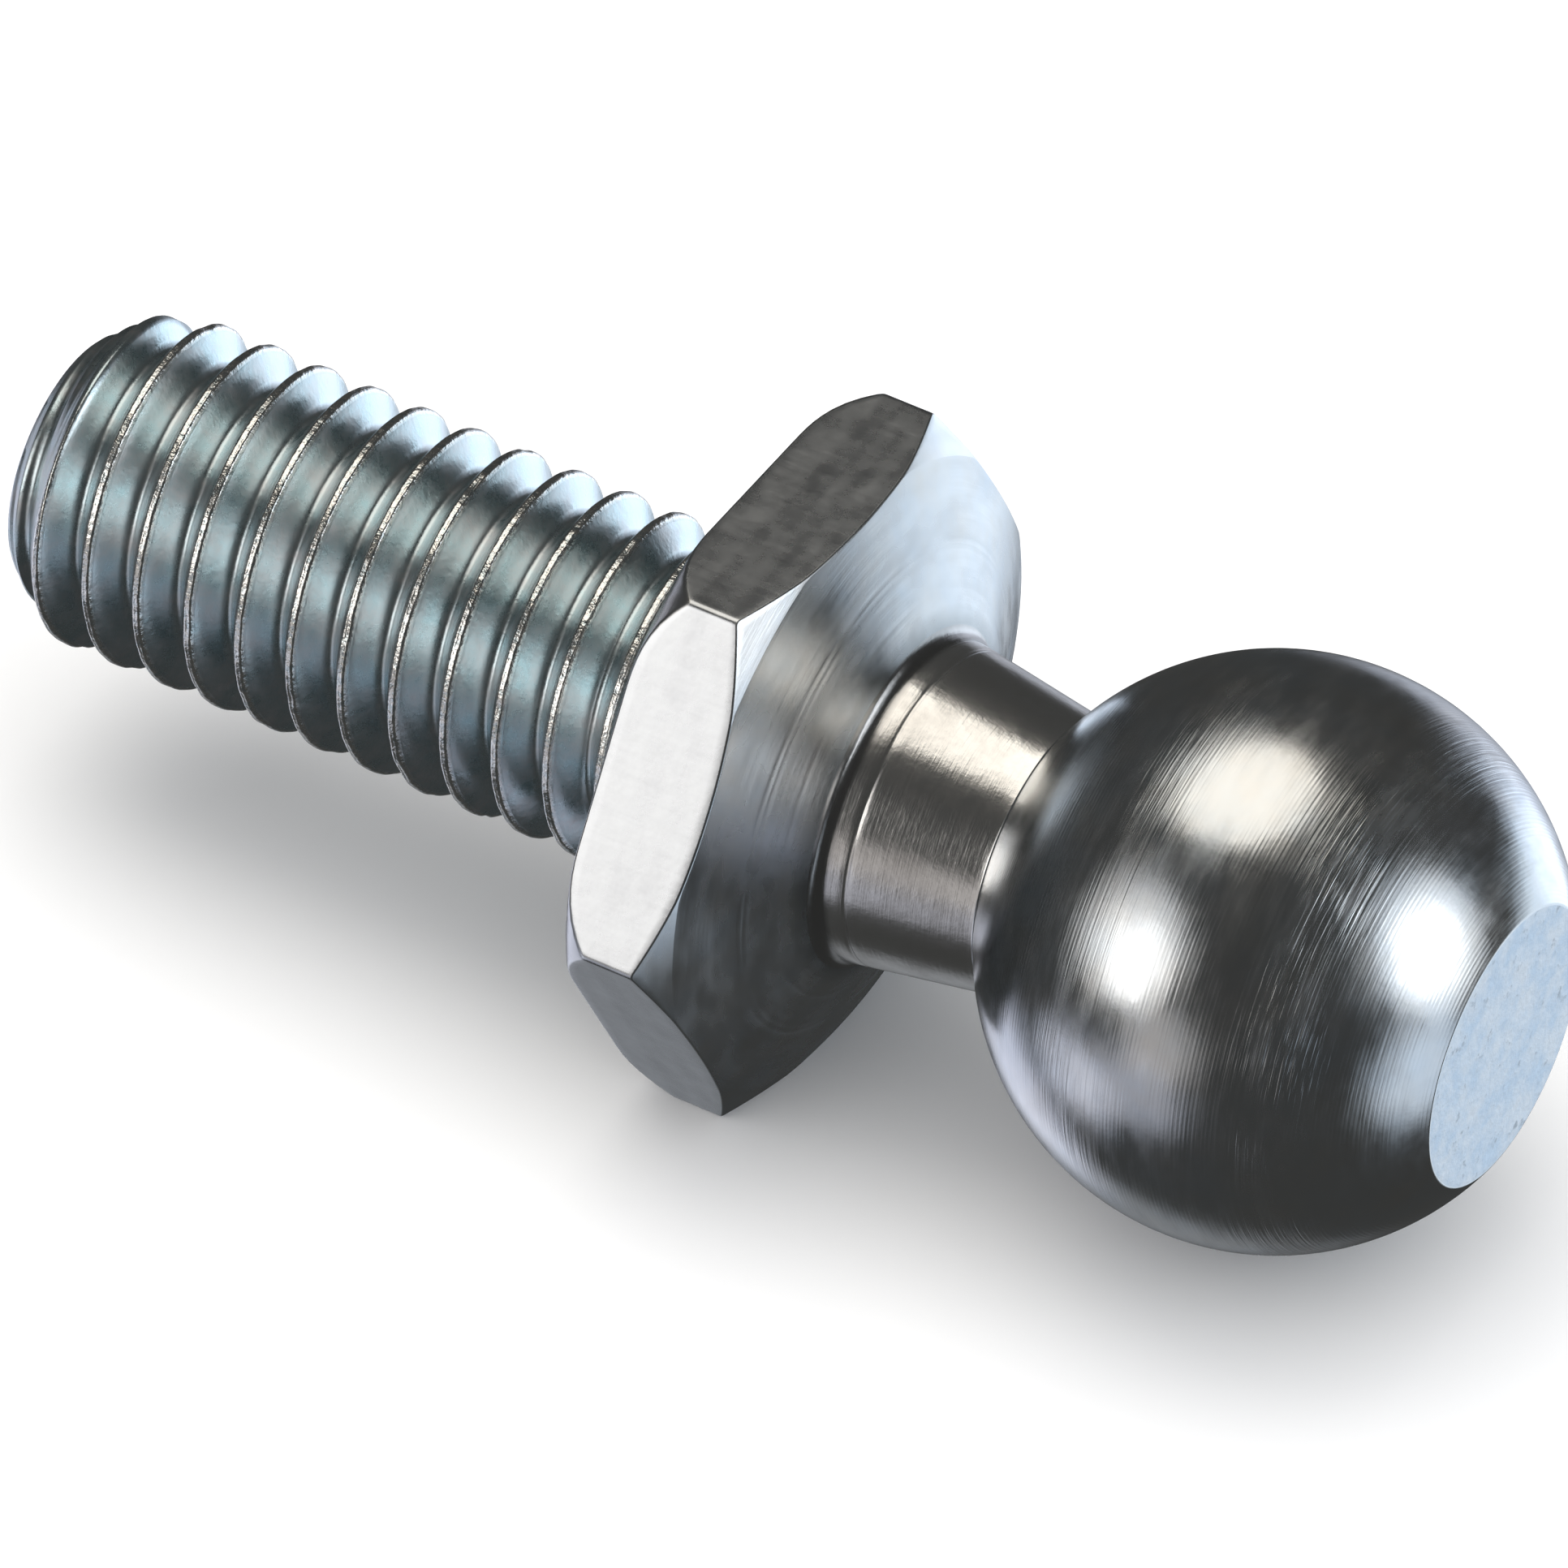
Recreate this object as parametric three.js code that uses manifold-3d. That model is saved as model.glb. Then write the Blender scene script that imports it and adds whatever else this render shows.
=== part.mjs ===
// Ball stud: a ball with a flat end on a tapered neck, a hexagonal collar and a threaded shank,
// all one piece of steel turned from hexagon bar. Millimetres, +Z up.
// The stud's axis lies along X with the ball towards +X, and one flat of the collar faces -Z.
import * as THREE from "three";
import { mergeVertices } from "three/addons/utils/BufferGeometryUtils.js";
import Module from "manifold-3d";

// Driving dimensions. A slope is the distance along the axis for each millimetre of radius.
const ballRadius = 5.0;
const ballFlatRadius = 2.5;
const ballCentreToSeat = 10.2;
const neckTipRadius = 2.46;
const neckRootRadius = 2.86;
const neckFilletRadius = 0.3;
const collarAcrossFlats = 10.9;
const collarRimToSeat = 2.0;
const collarRimRadius = 5.65;
const collarFaceSlope = 0.39;
const collarChamferSlope = 0.66;
const seatRimRadius = 5.84;
const seatChamferSlope = 1.7;
const shankLength = 13.1;
const endFaceRadius = 2.2;
const endChamferLength = 1.0;
const reliefRadius = 2.3;
const reliefLength = 0.4;
const runOutLength = 0.45;
const seatRecessRadius = 3.3;
const seatRecessDepth = 0.1;

// Metric thread, M6 x 1, right-handed.
const threadMajorRadius = 3.0;
const threadPitch = 1.0;
const threadFlankAngle = 30;
const threadCrestAngleAtSeat = 206;

// Fineness of the faceted surfaces.
const turnedSegments = 48;
const ballStepAngle = 7.5;
const filletSteps = 4;
const threadStepsPerTurn = 36;

// Places along the axis, with the origin half way along the stud.
const ballFlatOffset = Math.sqrt(ballRadius ** 2 - ballFlatRadius ** 2);
const studLength = ballFlatOffset + ballCentreToSeat + shankLength;
const shankEnd = -studLength / 2;
const seat = shankEnd + shankLength;
const collarRim = seat + collarRimToSeat;
const ballCentre = seat + ballCentreToSeat;
const ballFlat = ballCentre + ballFlatOffset;

// Thread form: a V cut off by an eighth of the pitch at the crest, with a flat root.
const threadDepth = 0.6134 * threadPitch;
const threadRootRadius = threadMajorRadius - threadDepth;
const halfCrest = threadPitch / 16;
const halfCrestAndFlank = halfCrest + threadDepth * Math.tan(THREE.MathUtils.degToRad(threadFlankAngle));

const wasm = await Module();
wasm.setup();

function solidOf(geometry) {
  geometry.deleteAttribute("normal");
  geometry.deleteAttribute("uv");
  const merged = mergeVertices(geometry, 1e-4);
  const mesh = new wasm.Mesh({
    numProp: 3,
    vertProperties: merged.attributes.position.array,
    triVerts: new Uint32Array(merged.index.array),
  });
  return new wasm.Manifold(mesh);
}

function geometryOf(solid) {
  const mesh = solid.getMesh();
  const geometry = new THREE.BufferGeometry();
  geometry.setAttribute("position", new THREE.BufferAttribute(mesh.vertProperties, 3));
  geometry.setIndex(new THREE.BufferAttribute(mesh.triVerts, 1));
  geometry.computeVertexNormals();
  return geometry;
}

// An outline of [x, radius] points from the -X end to the +X end, turned about the X axis.
function turned(outline) {
  const points = outline.map(([x, radius]) => new THREE.Vector2(radius, x));
  return solidOf(new THREE.LatheGeometry(points, turnedSegments).rotateZ(-Math.PI / 2));
}

// The ball's outline, from the neck round to the rim of its flat.
function ballOutline() {
  const start = Math.PI - Math.asin(neckTipRadius / ballRadius);
  const end = Math.asin(ballFlatRadius / ballRadius);
  const steps = Math.ceil((start - end) / THREE.MathUtils.degToRad(ballStepAngle));
  const outline = [];
  for (let i = 0; i <= steps; i++) {
    const angle = start + ((end - start) * i) / steps;
    outline.push([ballCentre + ballRadius * Math.cos(angle), ballRadius * Math.sin(angle)]);
  }
  return outline;
}

// The concave fillet from the collar's sloping face in to the neck.
function filletOutline() {
  const faceAngle = Math.atan(collarFaceSlope);
  const centreRadius = neckRootRadius + neckFilletRadius;
  const faceAtCentre = collarRim + collarFaceSlope * (collarRimRadius - centreRadius);
  const centre = faceAtCentre + neckFilletRadius / Math.cos(faceAngle);
  const outline = [];
  for (let i = 0; i <= filletSteps; i++) {
    const angle = Math.PI + faceAngle + ((Math.PI / 2 - faceAngle) * i) / filletSteps;
    outline.push([
      centre + neckFilletRadius * Math.cos(angle),
      centreRadius + neckFilletRadius * Math.sin(angle),
    ]);
  }
  return outline;
}

// Collar, neck and ball. The collar is still round, and its two chamfers meet outside the hexagon.
// A shallow recess in the seat keeps the bearing ring clear of the thread's run-out.
function turnedBlank() {
  const slopes = collarChamferSlope + seatChamferSlope;
  const overhang = collarRimToSeat - collarChamferSlope * (seatRimRadius - collarRimRadius);
  const edgeRadius = seatRimRadius + overhang / slopes;
  const edge = seat + seatChamferSlope * (edgeRadius - seatRimRadius);
  return turned([
    [seat + seatRecessDepth, 0],
    [seat + seatRecessDepth, seatRecessRadius],
    [seat, seatRecessRadius],
    [seat, seatRimRadius],
    [edge, edgeRadius],
    [collarRim, collarRimRadius],
    ...filletOutline(),
    ...ballOutline(),
    [ballFlat, 0],
  ]);
}

function hexagonBar() {
  const cornerRadius = collarAcrossFlats / 2 / Math.cos(Math.PI / 6);
  const outline = new THREE.Shape();
  for (let i = 0; i < 6; i++) {
    const angle = (i * Math.PI) / 3;
    const method = i === 0 ? "moveTo" : "lineTo";
    outline[method](cornerRadius * Math.sin(angle), cornerRadius * Math.cos(angle));
  }
  const bar = new THREE.ExtrudeGeometry(outline, { depth: 2 * studLength, bevelEnabled: false });
  bar.rotateY(Math.PI / 2);
  bar.translate(-studLength, 0, 0);
  return solidOf(bar);
}

// A right-handed threaded bar that runs past both ends of the shank. Its grid follows the helix:
// each row lies one step further round, and a full turn meets the first row one pitch along.
function threadedBar() {
  const form = [
    [-halfCrest, threadMajorRadius],
    [halfCrest, threadMajorRadius],
    [halfCrestAndFlank, threadRootRadius],
    [threadPitch - halfCrestAndFlank, threadRootRadius],
  ];
  const turns = Math.ceil(shankLength / threadPitch) + 3;
  const columns = turns * form.length;
  const rowSize = columns + form.length + 1;
  const crestAngle = THREE.MathUtils.degToRad(threadCrestAngleAtSeat);
  const firstCrest = seat - (turns - 1) * threadPitch;

  const positions = [];
  for (let row = 0; row < threadStepsPerTurn; row++) {
    const turned = row / threadStepsPerTurn;
    const angle = crestAngle + 2 * Math.PI * turned;
    for (let column = 0; column < rowSize; column++) {
      const [offset, radius] = form[column % form.length];
      const crest = firstCrest + threadPitch * (Math.floor(column / form.length) + turned);
      positions.push(crest + offset, radius * Math.cos(angle), radius * Math.sin(angle));
    }
  }
  const nearCentre = positions.length / 3;
  const farCentre = nearCentre + 1;
  positions.push(firstCrest + threadPitch / 2, 0, 0);
  positions.push(firstCrest + (turns + 0.5) * threadPitch, 0, 0);

  const vertex = (row, column) => {
    const pastTheTurn = row === threadStepsPerTurn;
    return pastTheTurn ? column + form.length : row * rowSize + column;
  };
  const index = [];
  for (let row = 0; row < threadStepsPerTurn; row++) {
    for (let column = 0; column < columns; column++) {
      const a = vertex(row, column);
      const b = vertex(row, column + 1);
      const c = vertex(row + 1, column + 1);
      const d = vertex(row + 1, column);
      index.push(a, c, b, a, d, c);
    }
    index.push(nearCentre, vertex(row + 1, 0), vertex(row, 0));
    index.push(farCentre, vertex(row, columns), vertex(row + 1, columns));
  }
  // The step of one pitch in each end's edge.
  for (let column = 0; column < form.length; column++) {
    const far = columns - form.length + column;
    index.push(nearCentre, vertex(0, column), vertex(0, column + 1));
    index.push(farCentre, vertex(threadStepsPerTurn, far + 1), vertex(threadStepsPerTurn, far));
  }
  const geometry = new THREE.BufferGeometry();
  geometry.setAttribute("position", new THREE.Float32BufferAttribute(positions, 3));
  geometry.setIndex(index);
  return solidOf(geometry);
}

// The room the shank takes: end chamfer, full thread, run-out and plain relief below the seat.
function shankEnvelope() {
  const clearRadius = threadMajorRadius + 0.1;
  const chamferSlope = endChamferLength / (threadMajorRadius - endFaceRadius);
  return turned([
    [shankEnd, 0],
    [shankEnd, endFaceRadius],
    [shankEnd + chamferSlope * (clearRadius - endFaceRadius), clearRadius],
    [seat - reliefLength - runOutLength, clearRadius],
    [seat - reliefLength, reliefRadius],
    [collarRim, reliefRadius],
    [collarRim, 0],
  ]);
}

const head = turnedBlank().intersect(hexagonBar());
const shank = threadedBar().intersect(shankEnvelope());

const zincPlatedSteel = new THREE.MeshStandardMaterial({
  color: 0xb4bcc0,
  roughness: 0.3,
  metalness: 1.0,
});
const stud = new THREE.Mesh(geometryOf(head.add(shank)), zincPlatedSteel);
stud.name = "ball_stud";

const group = new THREE.Group();
group.add(stud);
export default group;
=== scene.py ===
"""Looks for the ball stud: the whole surface as one closed skin of turned, drawn and thread-rolled
zinc-plated steel, with the camera, the floor and the studio lights around it.

Lengths are millimetres in the shape code and metres in Blender. The stud's axis is X, the ball is
towards +X, and one flat of the hexagonal collar faces -Z. Angles about the axis go from +Y to +Z."""
import math

import bmesh
import bpy
import numpy as np
from mathutils import Matrix, Vector


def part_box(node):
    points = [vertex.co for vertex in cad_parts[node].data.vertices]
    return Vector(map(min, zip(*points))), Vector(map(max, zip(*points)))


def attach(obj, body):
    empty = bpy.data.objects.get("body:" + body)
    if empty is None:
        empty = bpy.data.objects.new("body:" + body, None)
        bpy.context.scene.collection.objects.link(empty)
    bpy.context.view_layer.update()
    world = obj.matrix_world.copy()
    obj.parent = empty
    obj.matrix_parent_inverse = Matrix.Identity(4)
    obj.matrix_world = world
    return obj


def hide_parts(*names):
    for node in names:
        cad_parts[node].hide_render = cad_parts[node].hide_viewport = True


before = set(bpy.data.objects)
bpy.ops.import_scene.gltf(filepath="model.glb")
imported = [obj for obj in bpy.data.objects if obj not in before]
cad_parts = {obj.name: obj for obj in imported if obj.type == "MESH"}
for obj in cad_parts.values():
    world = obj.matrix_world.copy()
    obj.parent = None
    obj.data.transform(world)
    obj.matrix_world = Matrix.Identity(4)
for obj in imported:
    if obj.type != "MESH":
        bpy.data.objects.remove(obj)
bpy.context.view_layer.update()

MM = 0.001

# ---------------------------------------------------------------------------------------------
# Sizes
# ---------------------------------------------------------------------------------------------

low, high = [np.array(corner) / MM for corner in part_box("ball_stud")]

BALL_RADIUS = 5.0
BALL_FLAT_RADIUS = 2.5
NECK_TIP_RADIUS = 2.46
NECK_ROOT_RADIUS = 2.86
NECK_FILLET_RADIUS = 0.3
COLLAR_RIM_TO_SEAT = 2.0
COLLAR_RIM_RADIUS = 5.65
COLLAR_FACE_SLOPE = 0.39
COLLAR_CHAMFER_SLOPE = 0.66
SEAT_ROUND_START = 5.62
SEAT_CORNER_DROP = 0.68
SEAT_RECESS_RADIUS = 3.3
SEAT_RECESS_DEPTH = 0.1
SHANK_LENGTH = 13.1
END_FACE_RADIUS = 2.2
END_CHAMFER_LENGTH = 1.0
RELIEF_RADIUS = 2.3
RELIEF_LENGTH = 0.4
RUN_OUT_LENGTH = 0.45
THREAD_MAJOR_RADIUS = 3.0
THREAD_PITCH = 1.0
THREAD_DEPTH = 0.6134 * THREAD_PITCH
THREAD_FLANK_ANGLE = math.radians(30)
THREAD_CREST_ANGLE = math.radians(206)

SHANK_END = low[0]
BALL_FLAT = high[0]
SEAT = SHANK_END + SHANK_LENGTH
COLLAR_RIM = SEAT + COLLAR_RIM_TO_SEAT
BALL_CENTRE = BALL_FLAT - math.sqrt(BALL_RADIUS**2 - BALL_FLAT_RADIUS**2)
HALF_ACROSS_FLATS = high[2]
CORNER_RADIUS = high[1]
THREAD_ROOT_RADIUS = THREAD_MAJOR_RADIUS - THREAD_DEPTH
END_CHAMFER_SLOPE = (THREAD_MAJOR_RADIUS - END_FACE_RADIUS) / END_CHAMFER_LENGTH

# Softness of the edges, and the end face's dimple as depths and radii.
EDGE_ROUNDING = 0.05
CORNER_ROUNDING = 0.14
BALL_FLAT_EDGE = 0.09
NECK_TIP_ROUNDING = 0.05
END_RIM_ROUNDING = 0.04
END_RIM_LENGTH = 0.03
END_DIMPLE = ((0.12, 0.0), (0.11, 0.14), (0.04, 0.30), (0.006, 0.42))
RELIEF_FILLET_RADIUS = 0.12
SEAT_RECESS_ROUNDING = 0.03
CREST_RISE = 0.02
CREST_SOFTNESS = 0.15
ROOT_SOFTNESS = 0.10
THREAD_END_SOFTNESS = 0.05

# Fine marks of the tools. A place on the collar's face is a radius, and on the neck a distance
# from its root.
CREST_SEAM_DEPTH = 0.035
CREST_SEAM_WIDTH = 0.028
CREST_WEAR_WIDTH = 0.085
CREST_RIPPLE = 0.004
CREST_RIPPLES_PER_TURN = (23.3, 37.9)
END_FOLD_DEPTH = 0.06
END_FOLDS_PER_PITCH = 3
END_FOLD_FADE_IN = 0.25
END_FOLD_FADE_OUT = 0.3
BALL_TOOL_FEED = 0.075
FACE_RIPPLE = 0.0003
FACE_RIPPLE_PITCH = 0.19
FACE_MARKS = ((4.36, 0.005), (4.24, 0.003), (3.62, 0.003))
FACE_MARK_WIDTH = 0.03
NECK_LINE_PLACE = 0.30
NECK_LINE_DEPTH = 0.014
NECK_LINE_WIDTH = 0.03

# Fineness of the skin.
EVEN_COLUMNS = 168
ROWS_PER_ARC = 3
FILLET_STEPS = 7
BALL_STEPS = 78
FACE_ROW_STEP = 0.04
WELD_DISTANCE = 0.0004

rng = np.random.default_rng(7)


# ---------------------------------------------------------------------------------------------
# Columns: the angles about the axis at which every row has a point
# ---------------------------------------------------------------------------------------------

# A sixth of a turn is the angle from one corner of the hexagon to the next.
SIXTH = math.pi / 3
CORNER_CENTRE = (HALF_ACROSS_FLATS - CORNER_ROUNDING) / math.cos(SIXTH / 2)
CORNER_ARC = math.atan2(
    CORNER_ROUNDING * math.sin(SIXTH / 2),
    CORNER_CENTRE + CORNER_ROUNDING * math.cos(SIXTH / 2),
)


def angle_from_corner(angle):
    """How far an angle is from the hexagon's nearest corner."""
    return np.abs((angle + SIXTH / 2) % SIXTH - SIXTH / 2)


def column_angles():
    """Even steps, with more columns where a corner of the hexagon is rounded."""
    even = np.arange(EVEN_COLUMNS) * (2 * math.pi / EVEN_COLUMNS)
    even = even[angle_from_corner(even) > 2 * CORNER_ARC]
    near = CORNER_ARC * np.array([-1.6, -1.0, -0.66, -0.33, 0.0, 0.33, 0.66, 1.0, 1.6])
    corners = np.arange(6)[:, None] * SIXTH + near[None, :]
    return np.sort(np.concatenate([even, corners.ravel() % (2 * math.pi)]))


ANGLES = column_angles()
COLUMNS = len(ANGLES)


def hexagon_radius(angle):
    """Distance from the axis to the side of the hexagon, with its corners rounded."""
    off = angle_from_corner(angle)
    flat = HALF_ACROSS_FLATS / np.cos(SIXTH / 2 - off)
    across = np.maximum(CORNER_ROUNDING**2 - (CORNER_CENTRE * np.sin(off)) ** 2, 0)
    arc = CORNER_CENTRE * np.cos(off) + np.sqrt(across)
    return np.where(off < CORNER_ARC, arc, flat)


# ---------------------------------------------------------------------------------------------
# Rows: each is the skin's place along the axis and radius, at every column
# ---------------------------------------------------------------------------------------------

def row(x, radius):
    return np.stack([np.broadcast_to(x, COLUMNS), np.broadcast_to(radius, COLUMNS)], axis=1)


def outline(points):
    return [row(x, radius) for x, radius in points]


def between(first, last, count):
    """Evenly spaced rows strictly between two rows."""
    return [first + (last - first) * (i / (count + 1)) for i in range(1, count + 1)]


def arc(centre, radius, start, end, steps=ROWS_PER_ARC):
    """Rows round an arc. An angle of 0 points along the axis towards the ball, 90 degrees outwards."""
    rows = []
    for i in range(steps + 1):
        angle = start + (end - start) * i / steps
        rows.append(centre + radius * np.array([math.cos(angle), math.sin(angle)]))
    return rows


def curve_point(start, corner, end, share):
    """A point part of the way along the quadratic Bezier curve from start, by corner, to end."""
    return (1 - share) ** 2 * start + 2 * share * (1 - share) * corner + share**2 * end


def rounded(points, radius, steps=ROWS_PER_ARC):
    """An outline of [x, radius] points with each inner corner rounded."""
    points = [np.array(point, float) for point in points]
    result = [points[0]]
    for before, corner, after in zip(points, points[1:], points[2:]):
        into = (corner - before) / np.linalg.norm(corner - before)
        out = (after - corner) / np.linalg.norm(after - corner)
        half_turn = math.acos(np.clip(into @ out, -1, 1)) / 2
        reach = radius * math.tan(half_turn)
        start = corner - into * reach
        end = corner + out * reach
        result += [curve_point(start, corner, end, i / steps) for i in range(steps + 1)]
    result.append(points[-1])
    return result


def smooth_min(a, b, softness):
    """The lesser of two, rounded off where they are closer to each other than the softness."""
    blend = np.maximum(softness - np.abs(a - b), 0) / softness
    return np.minimum(a, b) - blend**2 * softness / 4


def smooth_max(a, b, softness):
    return -smooth_min(-a, -b, softness)


# ---------------------------------------------------------------------------------------------
# Shank: end face, thread, run-out and relief
# ---------------------------------------------------------------------------------------------

CHAMFER_START_RADIUS = END_FACE_RADIUS - END_RIM_LENGTH
RIM_RADIUS = CHAMFER_START_RADIUS + END_RIM_LENGTH * END_CHAMFER_SLOPE


def end_face_rows():
    """The end face, with its shallow centre dimple, out to where the thread's rows begin."""
    dimple = [(SHANK_END + depth, radius) for depth, radius in END_DIMPLE]
    face = [(SHANK_END, share * END_FACE_RADIUS) for share in (0.25, 0.45, 0.65, 0.82, 0.93)]
    rim = rounded([
        (SHANK_END, 0.95 * END_FACE_RADIUS),
        (SHANK_END, CHAMFER_START_RADIUS),
        (SHANK_END + END_RIM_LENGTH, RIM_RADIUS),
    ], END_RIM_ROUNDING)
    return outline(dimple + face + rim)


def thread_radius(phase):
    """The rolled thread's radius at a phase, in pitches from the middle of a crest."""
    off = np.abs((phase + 0.5) % 1 - 0.5) * THREAD_PITCH
    half_crest = THREAD_PITCH / 16
    flank = THREAD_MAJOR_RADIUS - (off - half_crest) / math.tan(THREAD_FLANK_ANGLE)
    radius = smooth_min(flank, THREAD_MAJOR_RADIUS + CREST_RISE, CREST_SOFTNESS)
    radius = smooth_max(radius, THREAD_ROOT_RADIUS, ROOT_SOFTNESS)
    return radius - CREST_SEAM_DEPTH * np.exp(-((off / CREST_SEAM_WIDTH) ** 2))


# Nicks in the thread's crest. A place is a number of turns from the crest that meets the seat, and
# so is a width.
NICKS = 70
NICK_PLACES = rng.uniform(-15, 1, NICKS)
NICK_DEPTHS = rng.uniform(0.01, 0.045, NICKS)
NICK_WIDTHS = rng.uniform(0.004, 0.014, NICKS)


def crest_nicks(phase, turn):
    """Depth of the dents and roughness along the crest, at a phase and a number of turns."""
    off = np.abs((phase + 0.5) % 1 - 0.5)
    on_crest = np.exp(-((off / CREST_WEAR_WIDTH) ** 2))
    depth = np.zeros_like(turn)
    for place, size, width in zip(NICK_PLACES, NICK_DEPTHS, NICK_WIDTHS):
        depth += size * np.exp(-(((turn - place) / width) ** 2))
    slow, fast = CREST_RIPPLES_PER_TURN
    ripple = CREST_RIPPLE * (np.sin(turn * 2 * math.pi * slow) + np.sin(turn * 2 * math.pi * fast + 1.3))
    return on_crest * (depth + ripple)


# Phases of a pitch's rows, in pitches from the middle of a crest. They crowd together at the crest.
HALF_PHASES = [0.022, 0.050, 0.078, 0.13, 0.20, 0.28, 0.345, 0.42]
PHASES = [-0.5] + [-phase for phase in reversed(HALF_PHASES)] + [0.0] + HALF_PHASES
ROWS_PER_PITCH = len(PHASES)


def end_folds(x, phase):
    """Height of the folds that rolling leaves on the end chamfer, which die out at both its edges."""
    from_end = x - SHANK_END
    fade_in = np.clip(from_end / END_FOLD_FADE_IN, 0, 1)
    fade_out = np.clip((END_CHAMFER_LENGTH - from_end) / END_FOLD_FADE_OUT, 0, 1)
    return END_FOLD_DEPTH * np.cos(2 * math.pi * END_FOLDS_PER_PITCH * phase) * fade_in * fade_out


def thread_rows():
    """Rows that climb with the thread, held back where they would pass either end of it."""
    start = SHANK_END + END_RIM_LENGTH
    end = SEAT - RELIEF_LENGTH
    turns_back = math.ceil(SHANK_LENGTH / THREAD_PITCH) + 1
    climb = (ANGLES - THREAD_CREST_ANGLE) / (2 * math.pi)
    clear_radius = THREAD_MAJOR_RADIUS + 0.1
    run_out_slope = (clear_radius - RELIEF_RADIUS) / RUN_OUT_LENGTH
    # A row nearer than this to either end is moved on to it.
    sliver = 0.02
    rows = []
    for turn in range(-turns_back, 3):
        for phase in PHASES:
            x = SEAT + THREAD_PITCH * (turn + phase + climb)
            x = np.where(x < start + sliver, start, x)
            x = np.where(x > end - sliver, end, x)
            along = (x - SEAT) / THREAD_PITCH - climb
            radius = thread_radius(along) - crest_nicks(along, np.round(along) + climb)
            end_cone = CHAMFER_START_RADIUS + END_CHAMFER_SLOPE * (x - SHANK_END) + end_folds(x, along)
            run_out_cone = RELIEF_RADIUS + run_out_slope * (end - x)
            radius = smooth_min(radius, end_cone, THREAD_END_SOFTNESS)
            radius = smooth_min(radius, run_out_cone, THREAD_END_SOFTNESS)
            radius = np.where(x == start, RIM_RADIUS, radius)
            radius = np.where(x == end, RELIEF_RADIUS, radius)
            rows.append(row(x, radius))
    return rows


def relief_rows():
    """The plain relief under the collar, and the shallow recess in the seat round it."""
    start = SEAT - RELIEF_LENGTH
    floor = SEAT + SEAT_RECESS_DEPTH
    floor_middle = 2.7
    seat_inner = 3.6
    corner = rounded([
        (start, RELIEF_RADIUS),
        (floor, RELIEF_RADIUS),
        (floor, SEAT_RECESS_RADIUS),
    ], RELIEF_FILLET_RADIUS)
    wall = rounded([
        (floor, floor_middle),
        (floor, SEAT_RECESS_RADIUS),
        (SEAT, SEAT_RECESS_RADIUS),
        (SEAT, seat_inner),
    ], SEAT_RECESS_ROUNDING)
    return outline(corner[:-1] + wall[1:])


# ---------------------------------------------------------------------------------------------
# Collar: seat, chamfers, flats and the sloping turned face
# ---------------------------------------------------------------------------------------------

def face_x(radius):
    """The collar's sloping face: its place along the axis at a radius."""
    return COLLAR_RIM + COLLAR_FACE_SLOPE * (COLLAR_RIM_RADIUS - radius)


def seat_edge_rows():
    """The seat's outer edge, rounded over by the tool, and its meeting with the hexagon's sides."""
    hexagon = hexagon_radius(ANGLES)
    curve = SEAT_CORNER_DROP / (CORNER_RADIUS - SEAT_ROUND_START) ** 2
    soft = EDGE_ROUNDING

    def on_curve(radius):
        return row(SEAT + curve * np.maximum(radius - SEAT_ROUND_START, 0) ** 2, radius)

    inner = np.minimum(hexagon - soft, SEAT_ROUND_START)
    steps = 6
    rows = [on_curve(inner + (hexagon - soft - inner) * i / steps) for i in range(steps + 1)]
    before = rows[-1]
    corner = on_curve(hexagon)
    after = row(corner[:, 0] + soft, hexagon)
    shares = [i / ROWS_PER_ARC for i in range(1, ROWS_PER_ARC + 1)]
    return rows + [curve_point(before, corner, after, share) for share in shares]


def rim_arcs():
    """The two rounded edges on the ball's side. Where the chamfer runs out on a flat, they meet."""
    soft = EDGE_ROUNDING
    inside = hexagon_radius(ANGLES) - soft
    chamfer_length = math.hypot(1, COLLAR_CHAMFER_SLOPE)
    face_length = math.hypot(1, COLLAR_FACE_SLOPE)

    on_chamfer = COLLAR_RIM - COLLAR_CHAMFER_SLOPE * (inside - COLLAR_RIM_RADIUS) - soft * chamfer_length
    side_edge = row(np.minimum(on_chamfer, face_x(inside) - soft * face_length), inside)
    slope_change = COLLAR_CHAMFER_SLOPE - COLLAR_FACE_SLOPE
    rim_radius = COLLAR_RIM_RADIUS + soft * (face_length - chamfer_length) / slope_change
    radius = np.minimum(inside, rim_radius)
    face_edge = row(face_x(radius) - soft * face_length, radius)

    chamfer_way = math.atan2(COLLAR_CHAMFER_SLOPE, 1)
    face_way = math.atan2(COLLAR_FACE_SLOPE, 1)
    return (
        arc(side_edge, soft, math.pi / 2, chamfer_way),
        arc(face_edge, soft, chamfer_way, face_way, 2),
    )


def face_marks(radius):
    """Depth of the turning tool's marks on the collar's face."""
    ripple = FACE_RIPPLE * np.sin(2 * math.pi * radius / FACE_RIPPLE_PITCH)
    lines = [depth * math.exp(-(((radius - place) / FACE_MARK_WIDTH) ** 2)) for place, depth in FACE_MARKS]
    return ripple + sum(lines)


def face_rows(rim):
    """The face from its rim in to the fillet. The tool's marks begin inside the hexagon's sides."""
    marked = 5.2
    fillet = NECK_ROOT_RADIUS + NECK_FILLET_RADIUS * (1 - math.sin(math.atan(COLLAR_FACE_SLOPE)))
    rows = between(rim, row(face_x(marked), marked), 4)
    radii = np.arange(marked, fillet + FACE_ROW_STEP / 2, -FACE_ROW_STEP)
    return rows + outline([(face_x(radius) - face_marks(radius), radius) for radius in radii])


# ---------------------------------------------------------------------------------------------
# Neck and ball
# ---------------------------------------------------------------------------------------------

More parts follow.
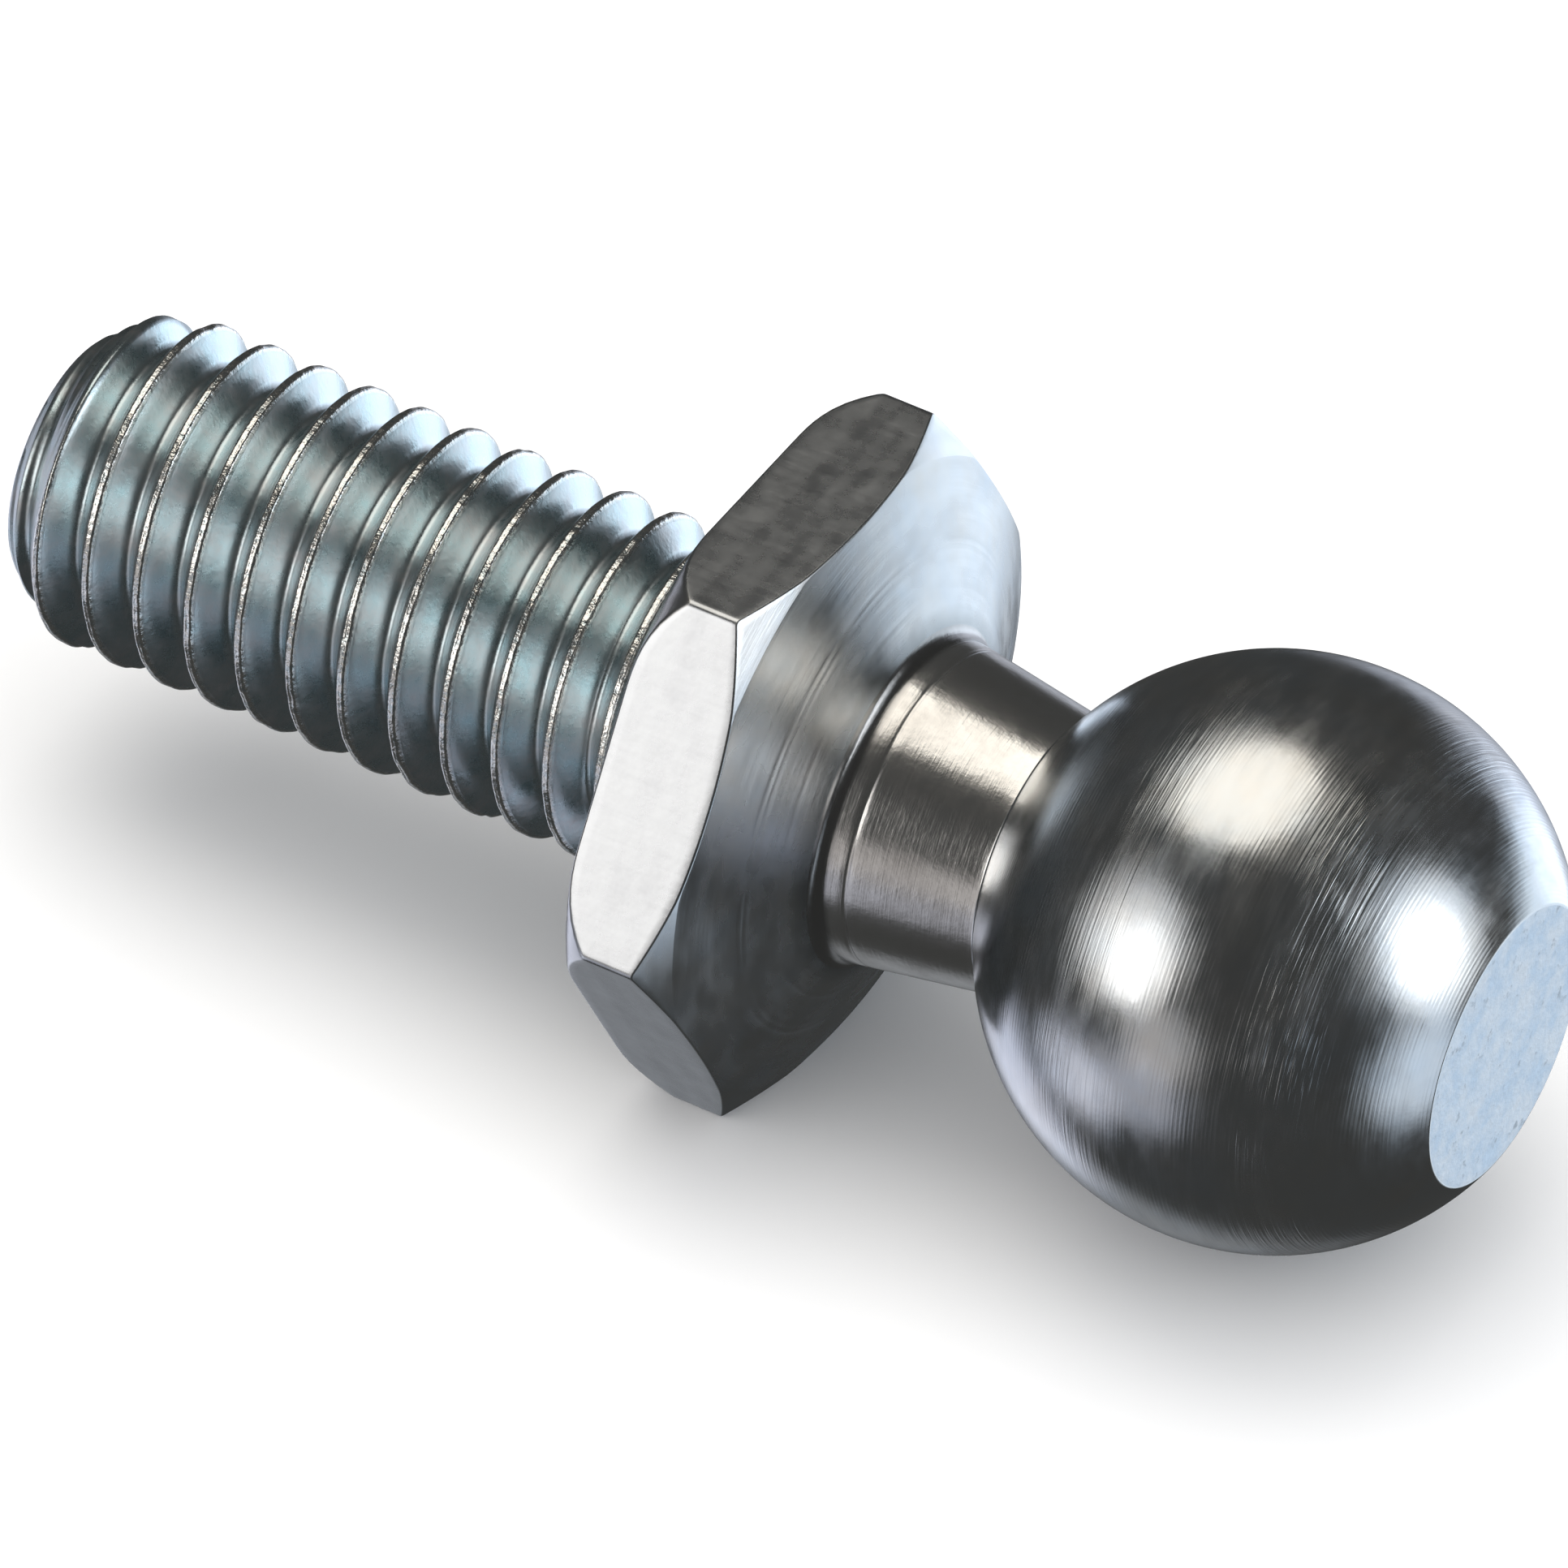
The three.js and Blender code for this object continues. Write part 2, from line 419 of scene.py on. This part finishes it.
def fillet_points():
    """The concave arc from the collar's face round to the neck."""
    face_angle = math.atan(COLLAR_FACE_SLOPE)
    centre_radius = NECK_ROOT_RADIUS + NECK_FILLET_RADIUS
    centre = face_x(centre_radius) + NECK_FILLET_RADIUS / math.cos(face_angle)
    points = []
    for i in range(FILLET_STEPS + 1):
        angle = math.pi + face_angle + (math.pi / 2 - face_angle) * i / FILLET_STEPS
        points.append((
            centre + NECK_FILLET_RADIUS * math.cos(angle),
            centre_radius + NECK_FILLET_RADIUS * math.sin(angle),
        ))
    return points


def neck_points(root_x):
    """The tapered neck, with the fine tool line that leaves a narrow ring at its root."""
    tip_x = BALL_CENTRE - math.sqrt(BALL_RADIUS**2 - NECK_TIP_RADIUS**2)
    taper = (NECK_TIP_RADIUS - NECK_ROOT_RADIUS) / (tip_x - root_x)
    before_line = [0.06, 0.16, 0.24]
    across_line = [NECK_LINE_PLACE + share * NECK_LINE_WIDTH for share in (-1, 0, 1, 2)]
    after_line = [0.45, 0.7, 1.0, 1.3, 1.6, 1.9, 2.2, 2.4]
    points = []
    for step in before_line + across_line + after_line:
        depth = NECK_LINE_DEPTH * math.exp(-(((step - NECK_LINE_PLACE) / NECK_LINE_WIDTH) ** 2))
        points.append((root_x + step, NECK_ROOT_RADIUS + taper * step - depth))
    return points


def ball_points():
    """The ball from the neck round to the rim of its flat."""
    start = math.pi - math.asin(NECK_TIP_RADIUS / BALL_RADIUS)
    end = math.asin(BALL_FLAT_RADIUS / BALL_RADIUS)
    points = []
    for i in range(BALL_STEPS + 1):
        angle = start + (end - start) * i / BALL_STEPS
        points.append((BALL_CENTRE + BALL_RADIUS * math.cos(angle), BALL_RADIUS * math.sin(angle)))
    return points


def neck_and_ball_rows():
    """The fillet and neck, the ball, and its flat. Each begins on the row where the last one ends."""
    fillet = fillet_points()
    neck = neck_points(fillet[-1][0])
    ball = ball_points()
    flat = [(BALL_FLAT, BALL_FLAT_RADIUS * share) for share in (0.93, 0.8, 0.6, 0.4, 0.2, 0.0)]
    junction = rounded([neck[-1], ball[0], ball[1]], NECK_TIP_ROUNDING, 4)
    edge = rounded([ball[-2], ball[-1], flat[0]], BALL_FLAT_EDGE, 4)
    neck_part = fillet + neck + junction[1:3]
    ball_part = junction[2:-1] + ball[1:-1] + edge[1:-1]
    return outline(neck_part), outline(ball_part), outline(ball_part[-1:] + flat)


# ---------------------------------------------------------------------------------------------
# The skin as a mesh
# ---------------------------------------------------------------------------------------------

def vertices_of(rows):
    """Points in metres, from rows in millimetres."""
    grid = np.array(rows) * MM
    x, radius = grid[..., 0], grid[..., 1]
    return np.stack([x, radius * np.cos(ANGLES), radius * np.sin(ANGLES)], axis=-1).reshape(-1, 3)


def faces_of(row_count, first, seam_rows=0):
    """Quads between rows. At the last column the thread's rows meet those one pitch further on."""
    faces = []
    last = row_count - 1
    for k in range(last):
        here = first + k * COLUMNS
        there = here + COLUMNS
        faces += [(here + j, here + j + 1, there + j + 1, there + j) for j in range(COLUMNS - 1)]
        here_over_seam = first + min(k + seam_rows, last) * COLUMNS
        there_over_seam = first + min(k + 1 + seam_rows, last) * COLUMNS
        faces.append((here + COLUMNS - 1, here_over_seam, there_over_seam, there + COLUMNS - 1))
    return faces


def skin_sections():
    """The skin in order along the axis: its rows, its material and how far its seam is offset."""
    side_arc, face_arc = rim_arcs()
    relief = relief_rows()
    seat_edge = seat_edge_rows()
    seat = relief + between(relief[-1], seat_edge[0], 4) + seat_edge
    flats = [seat_edge[-1]] + between(seat_edge[-1], side_arc[0], 11) + [side_arc[0]]
    chamfer = side_arc + between(side_arc[-1], face_arc[0], 3) + face_arc
    neck, ball, ball_flat = neck_and_ball_rows()
    face = [face_arc[-1]] + face_rows(face_arc[-1]) + [neck[0]]
    return [
        (end_face_rows(), "end_face", 0),
        (thread_rows(), "thread", ROWS_PER_PITCH),
        (seat, "collar_face", 0),
        (flats, "flats", 0),
        (chamfer, "collar_face", 0),
        (face, "collar_face", 0),
        (neck, "neck", 0),
        (ball, "ball", 0),
        (ball_flat, "end_face", 0),
    ]


def build_skin(materials):
    """One closed mesh of all the sections, welded where they meet."""
    names = list(materials)
    vertices, faces, slots = [], [], []
    first = 0
    for rows, material, seam_rows in skin_sections():
        vertices.append(vertices_of(rows))
        section_faces = faces_of(len(rows), first, seam_rows)
        faces += section_faces
        slots += [names.index(material)] * len(section_faces)
        first += len(rows) * COLUMNS
    mesh = bpy.data.meshes.new("ball_stud_skin")
    mesh.from_pydata(np.concatenate(vertices).tolist(), [], faces)
    mesh.polygons.foreach_set("material_index", slots)

    work = bmesh.new()
    work.from_mesh(mesh)
    bmesh.ops.remove_doubles(work, verts=work.verts, dist=WELD_DISTANCE * MM)
    bmesh.ops.dissolve_degenerate(work, edges=work.edges, dist=WELD_DISTANCE * MM)
    bmesh.ops.recalc_face_normals(work, faces=work.faces)
    for face in work.faces:
        face.smooth = True
    work.to_mesh(mesh)
    work.free()

    for name in names:
        mesh.materials.append(materials[name])
    skin = bpy.data.objects.new("ball_stud_skin", mesh)
    bpy.context.scene.collection.objects.link(skin)
    return skin


# ---------------------------------------------------------------------------------------------
# Materials
# ---------------------------------------------------------------------------------------------

class Nodes:
    """Short calls for making and linking shader nodes."""

    def __init__(self, name):
        self.material = bpy.data.materials.new(name)
        self.material.use_nodes = True
        self.tree = self.material.node_tree
        self.shader = self.tree.nodes["Principled BSDF"]
        self.shader.inputs["Metallic"].default_value = 1.0

    def add(self, kind, inputs=(), **settings):
        node = self.tree.nodes.new(kind)
        for key, value in settings.items():
            setattr(node, key, value)
        for key, value in dict(inputs).items():
            self.put(node.inputs[key], value)
        return node

    def put(self, socket, value):
        if isinstance(value, bpy.types.NodeSocket):
            self.tree.links.new(value, socket)
        else:
            socket.default_value = value

    def maths(self, operation, a, b=0.0):
        return self.add("ShaderNodeMath", {0: a, 1: b}, operation=operation).outputs[0]

    def noise(self, vector, scale, detail=2.0, roughness=0.5):
        inputs = {"Vector": vector, "Scale": scale, "Detail": detail, "Roughness": roughness}
        return self.add("ShaderNodeTexNoise", inputs).outputs["Fac"]

    def ramp(self, factor, low_at, high_at, low_value, high_value):
        inputs = {
            "Value": factor, "From Min": low_at, "From Max": high_at,
            "To Min": low_value, "To Max": high_value,
        }
        return self.add("ShaderNodeMapRange", inputs).outputs["Result"]

    def mix(self, factor, first, second):
        node = self.add("ShaderNodeMix", data_type="RGBA")
        self.put(node.inputs["Factor"], factor)
        self.put(node.inputs["A"], first)
        self.put(node.inputs["B"], second)
        return node.outputs[2]

    def place(self):
        """The place on the stud, in metres, as a vector."""
        return self.add("ShaderNodeTexCoord").outputs["Object"]

    def parts(self, place):
        """The x, y and z of a place."""
        return self.add("ShaderNodeSeparateXYZ", {0: place}).outputs

    def off_axis(self, parts):
        """Metres from the stud's axis."""
        y_squared = self.maths("MULTIPLY", parts[1], parts[1])
        z_squared = self.maths("MULTIPLY", parts[2], parts[2])
        return self.maths("SQRT", self.maths("ADD", y_squared, z_squared))

    def beyond(self, parts, start):
        """Metres along the axis towards the ball, from a start in millimetres."""
        return self.maths("SUBTRACT", parts[0], start * MM)


def colour(red, green, blue):
    return (red, green, blue, 1.0)


PALE_ZINC = colour(0.74, 0.755, 0.77)
BLUE_ZINC = colour(0.62, 0.68, 0.74)
WARM_ZINC = colour(0.72, 0.69, 0.65)
TEAL_ZINC = colour(0.58, 0.71, 0.75)
BRIGHT_ZINC = colour(0.92, 0.90, 0.86)


def tinted(nodes, place, scale):
    """Bluish and yellowish clouds in the passivated zinc."""
    clouds = nodes.ramp(nodes.noise(place, scale, 5.0, 0.6), 0.25, 0.75, 0.0, 1.0)
    other = nodes.ramp(nodes.noise(place, scale * 2.3, 4.0, 0.6), 0.35, 0.85, 0.0, 0.9)
    return nodes.mix(other, nodes.mix(clouds, PALE_ZINC, BLUE_ZINC), WARM_ZINC)


def ring_noise(nodes, travel, parts, across, fine, wander, detail=3.0):
    """Noise that changes fast with travel along the skin and slowly about the axis, as turning
    marks do."""
    vector = nodes.add("ShaderNodeCombineXYZ", {
        0: nodes.maths("MULTIPLY", travel, fine),
        1: nodes.maths("MULTIPLY", nodes.maths("DIVIDE", parts[1], across), wander),
        2: nodes.maths("MULTIPLY", nodes.maths("DIVIDE", parts[2], across), wander),
    }).outputs[0]
    return nodes.noise(vector, 1.0, detail, 0.65)


def band(nodes, value, middle, half_width):
    """1 at the middle of a band, and 0 outside it."""
    off = nodes.maths("ABSOLUTE", nodes.maths("SUBTRACT", value, middle))
    return nodes.ramp(off, half_width * 0.3, half_width, 1.0, 0.0)


def lay_bump(nodes, height, depth):
    bump = nodes.add("ShaderNodeBump", {"Strength": 1.0, "Distance": depth * MM, "Height": height})
    nodes.put(nodes.shader.inputs["Normal"], bump.outputs[0])


def lay_turned(nodes, anisotropy):
    """Anisotropy whose tangent runs round the stud's axis, as the turning marks do."""
    tangent = nodes.add("ShaderNodeTangent", direction_type="RADIAL", axis="X")
    nodes.put(nodes.shader.inputs["Tangent"], tangent.outputs[0])
    nodes.shader.inputs["Anisotropic"].default_value = anisotropy


def ball_material():
    """The ball: fine lathe lines at the tool's feed all over, and rougher ones in two bands."""
    nodes = Nodes("turned_ball_zinc")
    place = nodes.place()
    parts = nodes.parts(place)
    across = nodes.off_axis(parts)
    # The angle is 0 at the middle of the flat and pi at the middle of the neck.
    polar = nodes.maths("ARCTAN2", across, nodes.beyond(parts, BALL_CENTRE))
    travel = nodes.maths("MULTIPLY", polar, BALL_RADIUS * MM)
    lines = ring_noise(nodes, travel, parts, across, 17000.0, 1.5)
    wide = ring_noise(nodes, travel, parts, across, 2600.0, 4.0, 2.0)
    feed = nodes.maths("SINE", nodes.maths("MULTIPLY", travel, 2 * math.pi / (BALL_TOOL_FEED * MM)))
    grain = nodes.noise(place, 4200.0, 3.0, 0.6)
    rougher_band = band(nodes, polar, 1.10, 0.20)
    fainter_band = nodes.maths("MULTIPLY", band(nodes, polar, 1.82, 0.20), 0.5)
    coarse = nodes.maths("ADD", rougher_band, fainter_band)
    patchy = nodes.ramp(nodes.noise(place, 420.0, 2.0), 0.38, 0.62, 0.1, 1.0)
    amount = nodes.maths("ADD", nodes.maths("MULTIPLY", coarse, patchy), 0.12)
    height = nodes.maths("MULTIPLY", lines, amount)
    height = nodes.maths("ADD", height, nodes.maths("MULTIPLY", grain, 0.09))
    height = nodes.maths("ADD", height, nodes.maths("MULTIPLY", feed, 0.014))
    rough = nodes.ramp(wide, 0.3, 0.7, 0.15, 0.27)
    rough = nodes.maths("ADD", rough, nodes.maths("MULTIPLY", coarse, 0.05))
    nodes.put(nodes.shader.inputs["Base Color"], tinted(nodes, place, 260.0))
    nodes.put(nodes.shader.inputs["Roughness"], rough)
    lay_bump(nodes, height, 0.018)
    lay_turned(nodes, 0.3)
    return nodes.material


def neck_material():
    """The neck: a mottled, slightly warm grain over its lathe lines, and painted shade in its fillet."""
    nodes = Nodes("turned_neck_zinc")
    place = nodes.place()
    parts = nodes.parts(place)
    along = nodes.beyond(parts, COLLAR_RIM)
    lines = ring_noise(nodes, along, parts, nodes.off_axis(parts), 15000.0, 2.0)
    grain = nodes.noise(place, 3600.0, 4.0, 0.65)
    clouds = nodes.ramp(nodes.noise(place, 900.0, 6.0, 0.7), 0.34, 0.66, 0.0, 1.0)
    # Painted shade: the base colour is darkened in the fillet's concave crease at the neck's root.
    fillet_painted_shade = nodes.ramp(along, 1.22 * MM, 1.34 * MM, 1.0, 0.0)
    mottled = nodes.mix(clouds, colour(0.74, 0.72, 0.70), colour(0.90, 0.89, 0.875))
    toned = nodes.mix(fillet_painted_shade, mottled, colour(0.44, 0.435, 0.43))
    nodes.put(nodes.shader.inputs["Base Color"], toned)
    nodes.put(nodes.shader.inputs["Roughness"], nodes.ramp(clouds, 0.0, 1.0, 0.26, 0.17))
    height = nodes.maths("ADD", nodes.maths("MULTIPLY", lines, 0.24), nodes.maths("MULTIPLY", grain, 0.36))
    lay_bump(nodes, height, 0.014)
    lay_turned(nodes, 0.2)
    return nodes.material


def collar_face_material():
    """The collar's faced sides: fine rings, which spread highlights into fans, and painted shade
    near the axis, beside the fillet and in the relief."""
    nodes = Nodes("faced_zinc")
    place = nodes.place()
    parts = nodes.parts(place)
    across = nodes.off_axis(parts)
    lines = ring_noise(nodes, across, parts, across, 13000.0, 2.6)
    grain = nodes.noise(place, 6000.0, 3.0, 0.6)
    wide = ring_noise(nodes, across, parts, across, 1500.0, 3.0, 2.0)
    height = nodes.maths("ADD", nodes.maths("MULTIPLY", lines, 0.15), nodes.maths("MULTIPLY", grain, 0.08))
    # Painted shade: the base colour is darkened within 3.4 mm of the axis, in the corner by the fillet and
    # in the relief.
    painted_shade_near_axis = nodes.ramp(across, 3.05 * MM, 3.40 * MM, 1.0, 0.0)
    toned = nodes.mix(painted_shade_near_axis, tinted(nodes, place, 330.0), colour(0.44, 0.46, 0.47))
    nodes.put(nodes.shader.inputs["Base Color"], toned)
    nodes.put(nodes.shader.inputs["Roughness"], nodes.ramp(wide, 0.3, 0.7, 0.2, 0.32))
    lay_bump(nodes, height, 0.012)
    lay_turned(nodes, 0.6)
    return nodes.material


def flats_material():
    """Drawn bar stock: cloudy patches of duller metal, faint streaks along the axis, and faint
    bands across it."""
    nodes = Nodes("drawn_zinc")
    place = nodes.place()
    parts = nodes.parts(place)
    mottle = nodes.noise(place, 1900.0, 5.0, 0.6)
    grain = nodes.noise(place, 4500.0, 2.0, 0.5)
    drawn = nodes.add("ShaderNodeCombineXYZ", {
        0: nodes.maths("MULTIPLY", parts[0], 500.0),
        1: nodes.maths("MULTIPLY", parts[1], 4200.0),
        2: nodes.maths("MULTIPLY", parts[2], 4200.0),
    }).outputs[0]
    streaks = nodes.noise(drawn, 1.0, 2.0)
    bands = nodes.noise(nodes.maths("MULTIPLY", parts[0], 1100.0), 1.0, 2.0)
    mottle = nodes.maths("ADD", mottle, nodes.maths("MULTIPLY", bands, 0.8))
    patches = nodes.ramp(mottle, 0.56, 1.24, 0.0, 1.0)
    toned = nodes.mix(patches, colour(0.52, 0.53, 0.55), colour(0.80, 0.82, 0.84))
    nodes.put(nodes.shader.inputs["Base Color"], toned)
    nodes.put(nodes.shader.inputs["Roughness"], nodes.ramp(patches, 0.0, 1.0, 0.23, 0.33))
    height = nodes.maths("ADD", nodes.maths("MULTIPLY", grain, 0.35), nodes.maths("MULTIPLY", streaks, 0.5))
    lay_bump(nodes, height, 0.006)
    return nodes.material


def thread_material():
    """Rolled thread: matt flanks, and bright, scuffed crests."""
    nodes = Nodes("rolled_zinc")
    place = nodes.place()
    across = nodes.off_axis(nodes.parts(place))
    mottle = nodes.noise(place, 1500.0, 7.0, 0.72)
    grain = nodes.noise(place, 7000.0, 3.0, 0.65)
    scuffs = nodes.noise(place, 9000.0, 2.0, 0.6)
    crest = nodes.ramp(across, 2.90 * MM, 2.96 * MM, 0.0, 1.0)
    patches = nodes.mix(nodes.ramp(mottle, 0.38, 0.68, 0.0, 1.0), TEAL_ZINC, PALE_ZINC)
    worn = nodes.maths("MULTIPLY", crest, nodes.ramp(scuffs, 0.4, 0.55, 0.35, 1.0))
    nodes.put(nodes.shader.inputs["Base Color"], nodes.mix(worn, patches, BRIGHT_ZINC))
    rough = nodes.ramp(mottle, 0.3, 0.7, 0.22, 0.37)
    rough = nodes.maths("SUBTRACT", rough, nodes.maths("MULTIPLY", crest, 0.08))
    nodes.put(nodes.shader.inputs["Roughness"], rough)
    amount = nodes.maths("ADD", crest, 0.28)
    lay_bump(nodes, nodes.maths("MULTIPLY", nodes.maths("ADD", grain, scuffs), amount), 0.012)
    return nodes.material


def end_face_material():
    """The cropped ends: matt and finely pitted."""
    nodes = Nodes("cropped_zinc")
    place = nodes.place()
    mottle = nodes.noise(place, 1300.0, 5.0, 0.65)
    pits = nodes.noise(place, 2900.0, 4.0, 0.68)
    specks = nodes.ramp(pits, 0.60, 0.68, 0.0, 0.75)
    clouds = nodes.ramp(mottle, 0.40, 0.62, 0.0, 1.0)
    pale = nodes.mix(clouds, colour(0.58, 0.67, 0.77), colour(0.92, 0.95, 0.99))
    nodes.put(nodes.shader.inputs["Base Color"], nodes.mix(specks, pale, colour(0.40, 0.44, 0.48)))
    nodes.put(nodes.shader.inputs["Roughness"], nodes.ramp(mottle, 0.3, 0.7, 0.32, 0.5))
    lay_bump(nodes, pits, 0.016)
    return nodes.material


# ---------------------------------------------------------------------------------------------
# Camera, floor and lights
# ---------------------------------------------------------------------------------------------

VIEW_FROM = Vector((0.372, -0.654, 0.659)).normalized()
CAMERA_DISTANCE = 0.4
CAMERA_ROLL = math.radians(1.93)
FRAME_WIDTH = 25.79 * MM
AIM_LEFT_OF_BALL = 8.10 * MM
AIM_ABOVE_BALL = 2.76 * MM


def make_camera():
    """A long lens aimed to the left of the ball and above it, rolled a little from level."""
    level_right = (-VIEW_FROM).cross(Vector((0, 0, 1))).normalized()
    level_up = level_right.cross(-VIEW_FROM)
    right = level_right * math.cos(CAMERA_ROLL) + level_up * math.sin(CAMERA_ROLL)
    up = level_up * math.cos(CAMERA_ROLL) - level_right * math.sin(CAMERA_ROLL)
    aim = Vector((BALL_CENTRE * MM, 0, 0)) - right * AIM_LEFT_OF_BALL + up * AIM_ABOVE_BALL
    data = bpy.data.cameras.new("camera")
    data.sensor_width = 36.0
    data.lens = data.sensor_width * CAMERA_DISTANCE / FRAME_WIDTH
    camera = bpy.data.objects.new("camera", data)
    turn = Matrix((right, up, VIEW_FROM)).transposed().to_4x4()
    camera.matrix_world = Matrix.Translation(aim + VIEW_FROM * CAMERA_DISTANCE) @ turn
    data.clip_start = 0.01
    data.clip_end = 10.0
    bpy.context.scene.collection.objects.link(camera)
    bpy.context.scene.camera = camera


def make_floor():
    """A plain pale floor under the collar's lowest flat. The studio below the horizon, which the
    polished metal mirrors, is part of the world, so the floor is left out of the reflections."""
    half_width = 1.5
    level = low[2] * MM
    mesh = bpy.data.meshes.new("floor")
    square = ((-1, -1), (1, -1), (1, 1), (-1, 1))
    corners = [(half_width * x, half_width * y, level) for x, y in square]
    mesh.from_pydata(corners, [], [(0, 1, 2, 3)])
    floor = bpy.data.objects.new("floor", mesh)
    floor.visible_glossy = False
    bpy.context.scene.collection.objects.link(floor)
    nodes = Nodes("pale_floor")
    nodes.shader.inputs["Metallic"].default_value = 0.0
    nodes.shader.inputs["Base Color"].default_value = colour(0.90, 0.90, 0.905)
    nodes.shader.inputs["Roughness"].default_value = 0.9
    mesh.materials.append(nodes.material)


def make_light(name, direction, distance, size, radiance, tint, seen=True):
    """A soft round light that faces the stud. Its strength is given as radiance, whatever its size."""
    data = bpy.data.lights.new(name, "AREA")
    data.shape = "DISK"
    data.size = size
    data.energy = radiance * math.pi * math.pi * (size / 2) ** 2
    data.color = tint
    light = bpy.data.objects.new(name, data)
    way = Vector(direction).normalized()
    light.location = way * distance
    light.rotation_euler = way.to_track_quat("Z", "Y").to_euler()
    light.visible_glossy = seen
    bpy.context.scene.collection.objects.link(light)


def make_lights():
    warm = (1.0, 0.95, 0.86)
    cool = (0.88, 0.94, 1.0)
    make_light("overhead", (-0.294, 0.136, 0.946), 0.45, 0.39, 1.35, warm)
    make_light("front_left", (-0.55, -0.75, 0.37), 0.46, 0.38, 0.72, (1.0, 0.98, 0.96))
    make_light("front_left_core", (-0.48, -0.82, 0.32), 0.45, 0.24, 1.05, (1.0, 0.97, 0.93))
    make_light("right", (0.916, 0.13, 0.38), 0.46, 0.40, 0.95, cool)
    make_light("right_core", (0.92, 0.10, 0.37), 0.45, 0.24, 1.6, (0.94, 0.97, 1.0))
    make_light("fill", (0.1, -0.1, 1.0), 1.0, 2.8, 1.6, (1.0, 1.0, 1.0), seen=False)


STUDIO_DARK = (0.048, 0.049, 0.048)

# Pale parts of the studio around the stud: direction, half width in degrees where it is full and
# where it ends, colour and radiance.
STUDIO_PATCHES = (
    ((0.42, 0.80, -0.43), 18, 30, (0.78, 0.89, 1.0), 1.20),
    ((0.12, 0.95, -0.25), 5, 22, (0.80, 0.86, 1.0), 0.65),
    ((-0.14, 0.90, -0.41), 6, 19, (0.82, 0.87, 1.0), 0.60),
    ((-0.93, 0.15, -0.30), 8, 24, (0.86, 0.87, 1.0), 0.65),
    ((0.95, -0.12, -0.28), 6, 24, (0.76, 0.87, 1.0), 0.95),
    ((-0.70, 0.12, -0.70), 5, 24, (0.84, 0.86, 1.0), 0.85),
    ((-0.62, -0.56, -0.55), 4, 18, (0.84, 0.87, 1.0), 0.90),
    ((-0.30, -0.84, -0.45), 2, 20, (0.86, 0.88, 1.0), 0.45),
    ((-0.20, -0.96, -0.08), 4, 19, (1.0, 0.95, 0.93), 0.42),
    ((-0.37, 0.24, -0.90), 5, 24, (0.88, 0.93, 1.0), 0.22),
)


def make_world():
    """A dark studio with pale patches of table and wall, fixed in the world's directions."""
    world = bpy.data.worlds.new("studio")
    world.use_nodes = True
    tree = world.node_tree
    direction = tree.nodes.new("ShaderNodeTexCoord").outputs["Generated"]
    # The first patch is added to the studio's dark, and each later one to the total so far.
    total = None
    for place, full, end, tint, radiance in STUDIO_PATCHES:
        facing = tree.nodes.new("ShaderNodeVectorMath")
        facing.operation = "DOT_PRODUCT"
        tree.links.new(direction, facing.inputs[0])
        facing.inputs[1].default_value = Vector(place).normalized()
        edge = tree.nodes.new("ShaderNodeMapRange")
        edge.interpolation_type = "SMOOTHSTEP"
        edge.inputs["From Min"].default_value = math.cos(math.radians(end))
        edge.inputs["From Max"].default_value = math.cos(math.radians(full))
        tree.links.new(facing.outputs["Value"], edge.inputs["Value"])
        glow = tree.nodes.new("ShaderNodeVectorMath")
        glow.operation = "MULTIPLY_ADD"
        tree.links.new(edge.outputs["Result"], glow.inputs[0])
        glow.inputs[1].default_value = [part * radiance for part in tint]
        glow.inputs[2].default_value = STUDIO_DARK
        if total is not None:
            tree.links.new(total, glow.inputs[2])
        total = glow.outputs[0]
    tree.links.new(total, tree.nodes["Background"].inputs["Color"])
    bpy.context.scene.world = world


skin = build_skin({
    "ball": ball_material(),
    "neck": neck_material(),
    "collar_face": collar_face_material(),
    "flats": flats_material(),
    "thread": thread_material(),
    "end_face": end_face_material(),
})
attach(skin, "root")
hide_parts("ball_stud")

make_camera()
make_floor()
make_lights()
make_world()
bpy.context.scene.view_settings.view_transform = "Standard"
